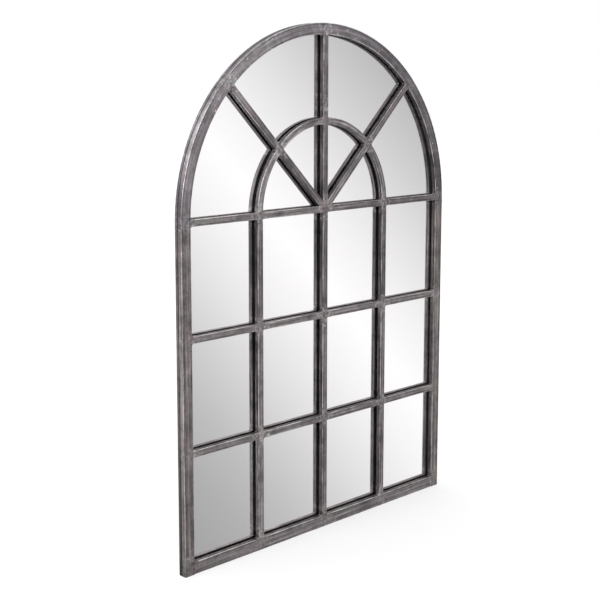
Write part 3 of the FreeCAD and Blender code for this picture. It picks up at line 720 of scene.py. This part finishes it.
def buildStitches():
    shape = bmesh.new()
    reach = lattice["outerRadius"] - welds["stitchIn"]
    for side in (-1, 1):
        for height in welds["stitchHeights"]:
            rise = max(height - lattice["springZ"], 0.0) / reach    # 0 below the spring line
            out = Vector((side * math.sqrt(1 - rise ** 2), 0, rise))
            spot = out * reach + Vector((0, lattice["seamY"], min(height, lattice["springZ"])))
            addBead(shape, spot, (-out.z, 0, out.x), out, welds["stitch"])
    return shape


finishPiece("ground_weld_seams", buildPads(), weldSteel)
finishPiece("corner_weld_beads", buildFillets(), weldSteel)
finishPiece("side_stitch_welds", buildStitches(), weldSteel)
print("welds made")


# what the frame holds: foam, rubber, card, board and zinc; grain is its cloud per metre
fillings = {
    "foam": {"shades": (colour(30, 30, 31), colour(54, 53, 52)),
             "grain": 1400.0, "roughness": 0.92, "bump": 0.0002},
    "rubber": {"shades": (colour(24, 24, 25), colour(48, 47, 46)),
               "grain": 700.0, "roughness": 0.72, "bump": 0.00006},
    "card": {"shades": (colour(158, 150, 134), colour(182, 174, 158)),
             "grain": 900.0, "roughness": 0.85, "bump": 0.00005},
    "softWide": 0.06,         # the wide mottle of these three, as a share of the grain's scale
    "softCut": (0.35, 0.65),
    "softGloss": 0.2,
}
board = {
    "shades": [(0.0, colour(92, 64, 40)), (0.5, colour(128, 94, 62)), (1.0, colour(158, 122, 86))],
    "shadeCut": (0.35, 0.80),
    "lyingFibres": (260, 900, 1500),
    "standingFibres": (1500, 900, 260),
    "fibreShare": 0.78,
    "wideCloud": 16.0,
    "wideShare": 0.20,
    "mesh": 0.0025,           # pitch of the wire screen pressed into its rough side
    "meshShare": 0.05,
    "meshHeight": 0.4,
    "speckCloud": 520.0,
    "speckCut": (0.69, 0.76),
    "speckShade": colour(58, 40, 26),
    "roughness": (0.3, 0.8, 0.86, 0.66),
    "bump": 0.0002,
}
zincPlate = {
    "shades": [(0.0, colour(120, 125, 130)), (0.5, colour(158, 162, 166)), (1.0, colour(196, 199, 202))],
    "crystals": 420.0,
    "crystalShare": 0.25,
    "wideCloud": 130.0,
    "wideShare": 0.5,
    "rubbedCloud": (2200, 900, 500),
    "rubbedShare": 0.3,
    "roughness": (0.2, 0.8, 0.46, 0.28),
    "bump": 0.00004,
}


def softMaterial(name, filling):
    # foam, rubber and card: a mottled tone with a fine surface
    material, tree, shader = newMaterial(name)
    point = objectPoint(tree)
    grain = cloud(tree, point, filling["grain"], 3.0, 0.6)
    wide = cloud(tree, point, filling["grain"] * fillings["softWide"], 3.0, 0.6)
    amount = calc(tree, "ADD", calc(tree, "MULTIPLY", grain, 0.5), calc(tree, "MULTIPLY", wide, 0.5))
    tone = mixColours(tree, ease(tree, amount, *fillings["softCut"]), *filling["shades"])
    gloss = fillings["softGloss"]
    rough = calc(tree, "MULTIPLY_ADD", grain, gloss, filling["roughness"] - gloss / 2)
    setShader(tree, shader, {"Base Color": tone, "Roughness": rough,
                             "Normal": relief(tree, grain, filling["bump"])})
    return material


def boardMaterial():
    # pressed fibre board: short fibres lying every way, darker specks, the print of a wire screen
    material, tree, shader = newMaterial("fibreBoard")
    point = objectPoint(tree)
    fibres = calc(tree, "MAXIMUM", drawnCloud(tree, point, board["lyingFibres"], 3.0, 0.65),
                  drawnCloud(tree, point, board["standingFibres"], 3.0, 0.65))
    wide = cloud(tree, point, board["wideCloud"], 4.0, 0.6)
    parts = place(tree, "SeparateXYZ", {0: point}).outputs
    turns = 2 * math.pi / board["mesh"]
    screen = product(tree, *[calc(tree, "SINE", product(tree, parts[axis], turns)) for axis in (0, 2)])
    amount = calc(tree, "ADD", product(tree, fibres, board["fibreShare"]),
                  product(tree, wide, board["wideShare"]))
    amount = calc(tree, "MULTIPLY_ADD", screen, board["meshShare"], amount, clamp=True)
    tone = ramp(tree, ease(tree, amount, *board["shadeCut"]), board["shades"])
    specks = ease(tree, cloud(tree, point, board["speckCloud"], 1.0), *board["speckCut"])
    height = calc(tree, "MULTIPLY_ADD", screen, board["meshHeight"], fibres)
    setShader(tree, shader, {"Base Color": mixColours(tree, specks, tone, board["speckShade"]),
                             "Roughness": ease(tree, fibres, *board["roughness"]),
                             "Normal": relief(tree, height, board["bump"])})
    return material


def zincMaterial():
    # zinc plating: faint crystals, brighter and duller by turns, with rubbed marks
    material, tree, shader = newMaterial("zincPlating")
    point = objectPoint(tree)
    crystals = place(tree, "TexVoronoi", {"Vector": point, "Scale": zincPlate["crystals"]})
    level = place(tree, "SeparateXYZ", {0: crystals.outputs["Color"]}).outputs[0]
    wide = cloud(tree, point, zincPlate["wideCloud"], 3.0, 0.6)
    rubbed = drawnCloud(tree, point, zincPlate["rubbedCloud"], 2.0, 0.6)
    amount = calc(tree, "ADD", product(tree, wide, zincPlate["wideShare"]),
                  product(tree, rubbed, zincPlate["rubbedShare"]))
    amount = calc(tree, "MULTIPLY_ADD", level, zincPlate["crystalShare"], amount, clamp=True)
    setShader(tree, shader, {"Base Color": ramp(tree, amount, zincPlate["shades"]),
                             "Roughness": ease(tree, amount, *zincPlate["roughness"]),
                             "Metallic": 1.0, "Normal": relief(tree, rubbed, zincPlate["bump"])})
    return material


dress(softMaterial("blackFoam", fillings["foam"]), "edge_tape", "bar_tape")
dress(softMaterial("blackRubber", fillings["rubber"]), "setting_blocks", "wall_bumpers")
dress(softMaterial("greyCard", fillings["card"]), "liner_sheet")
dress(boardMaterial(), "backing_board")
dress(zincMaterial(), "turn_button_screws", "left_hanger_strap", "right_hanger_strap",
      "left_hanger_ring", "right_hanger_ring", "hanger_screws",
      *[f"turn_button_{n}" for n in range(1, 9)])
print("tape, rubber, board and hardware dressed")


# studio: pale floor, soft light, camera
studio = {
    "floorSize": 16.0,
    "floorDrop": 0.0004,
    "floorShades": (colour(190, 190, 190), colour(196, 196, 196)),
    "floorCloud": 3.0,
    "floorRoughness": 0.9,
    # the glow near the mirror, where its faint shadow shows, and far away: distances, then strengths
    "floorGlow": (0.7, 3.0, 0.44, 0.60),
    "lampAim": (0, 0, 0.6),
    "keyLamp": {"spot": (-2.6, -0.5, 2.3), "size": 1.8, "power": 60.0},
    "rimLamp": {"spot": (-1.7, 1.9, 2.0), "size": 1.6, "power": 19.0},
    "fillLamp": {"spot": (1.6, -2.6, 2.4), "size": 2.2, "power": 20.0},
    "roomLight": 0.85,
    # the slanted bright band that the mirror faces: its light falls off by degrees from its middle
    "bandTilt": 1.2,
    "bandYaw": 45.0,
    "bandPitch": -9.8,
    "bandLight": 1.06,
    "bandFall": [(0, 1.0), (3.4, 0.905), (6.7, 0.78), (10.1, 0.642), (13.5, 0.521), (16.9, 0.437),
                 (20.3, 0.379), (26, 0.36), (50, 0.66), (70, 0.9)],
}
white = (1, 1, 1, 1)


def background(tree, shade, strength):
    return place(tree, "Background", {"Color": shade, "Strength": strength}).outputs[0]


def buildWorld():
    world = bpy.data.worlds.new("studio")
    bpy.context.scene.world = world
    world.use_nodes = True
    tree = world.node_tree
    tree.nodes.clear()
    parts = place(tree, "SeparateXYZ", {0: place(tree, "TexCoord").outputs["Generated"]}).outputs
    degrees = 180 / math.pi
    yaw = product(tree, calc(tree, "ARCTAN2", parts[0], product(tree, parts[1], -1.0)), degrees)
    pitch = product(tree, calc(tree, "ARCSINE", parts[2]), degrees)
    slant = product(tree, calc(tree, "SUBTRACT", yaw, studio["bandYaw"]), studio["bandTilt"])
    away = calc(tree, "SUBTRACT", calc(tree, "ADD", pitch, slant), studio["bandPitch"])
    widest = studio["bandFall"][-1][0]
    stops = [(angle / widest, (light, light, light, 1)) for angle, light in studio["bandFall"]]
    share = calc(tree, "DIVIDE", calc(tree, "ABSOLUTE", away), widest, clamp=True)
    band = background(tree, ramp(tree, share, stops), studio["bandLight"])
    rays = place(tree, "LightPath").outputs
    mirrored = calc(tree, "MAXIMUM", rays["Is Glossy Ray"], rays["Is Transmission Ray"])
    plain = background(tree, white, studio["roomLight"])
    room = place(tree, "MixShader", {0: mirrored, 1: plain, 2: band}).outputs[0]
    backdrop = background(tree, white, 1.0)
    seen = place(tree, "MixShader", {0: rays["Is Camera Ray"], 1: room, 2: backdrop}).outputs[0]
    connect(tree, place(tree, "OutputWorld").inputs[0], seen)


def buildFloor():
    shape = bmesh.new()
    bmesh.ops.create_grid(shape, x_segments=4, y_segments=4, size=studio["floorSize"])
    mesh = bpy.data.meshes.new("floor")
    shape.to_mesh(mesh)
    shape.free()
    floor = addObject("floor", mesh)
    floor.location.z = -studio["floorDrop"]
    material, tree, shader = newMaterial("paleFloor")
    point = objectPoint(tree)
    setShader(tree, shader, {
        "Roughness": studio["floorRoughness"],
        "Base Color": mixColours(tree, cloud(tree, point, studio["floorCloud"]), *studio["floorShades"])})
    reach = place(tree, "VectorMath", {0: point}, operation="LENGTH").outputs["Value"]
    glow = place(tree, "Emission", {"Color": white, "Strength": ease(tree, reach, *studio["floorGlow"])})
    both = place(tree, "AddShader", {0: shader.outputs[0], 1: glow.outputs[0]}).outputs[0]
    cameraRay = place(tree, "LightPath").outputs["Is Camera Ray"]
    seen = place(tree, "MixShader", {0: cameraRay, 1: shader.outputs[0], 2: both}).outputs[0]
    output = next(item for item in tree.nodes if item.type == "OUTPUT_MATERIAL")
    connect(tree, output.inputs[0], seen)
    mesh.materials.append(material)
    floor.visible_glossy = False
    floor.visible_transmission = False


def addLamp(name):
    lamp = bpy.data.lights.new(name, "AREA")
    lamp.size = studio[name]["size"]
    lamp.energy = studio[name]["power"]
    holder = addObject(name, lamp)
    holder.location = studio[name]["spot"]
    ahead = Vector(studio["lampAim"]) - Vector(studio[name]["spot"])
    holder.rotation_euler = ahead.to_track_quat("-Z", "Y").to_euler()
    holder.visible_transmission = False    # the panes show the room, not the lamps


cameraSet = {
    "place": (-1.8270, -1.82705, 1.0240),
    "yaw": 43.948,        # degrees to the right of straight ahead
    "pitch": 7.907,       # degrees down
    "roll": 0.059,
    "lens": 69.96,
    "sensor": 36,
    "shiftUp": -0.10,
    "farthest": 60,
}


def buildCamera():
    yaw, pitch, roll = [math.radians(cameraSet[name]) for name in ("yaw", "pitch", "roll")]
    ahead = Vector((math.sin(yaw) * math.cos(pitch), math.cos(yaw) * math.cos(pitch), -math.sin(pitch)))
    data = bpy.data.cameras.new("camera")
    data.sensor_width = cameraSet["sensor"]
    data.lens = cameraSet["lens"]
    data.shift_y = cameraSet["shiftUp"]
    data.clip_end = cameraSet["farthest"]
    camera = addObject("camera", data)
    camera.location = cameraSet["place"]
    level = ahead.to_track_quat("-Z", "Y").to_matrix()
    camera.rotation_euler = (level @ Matrix.Rotation(roll, 3, "Z")).to_euler()
    bpy.context.scene.camera = camera


bpy.context.scene.view_settings.view_transform = "Standard"
buildWorld()
buildFloor()
for lampName in ("keyLamp", "rimLamp", "fillLamp"):
    addLamp(lampName)
buildCamera()
print("studio made")
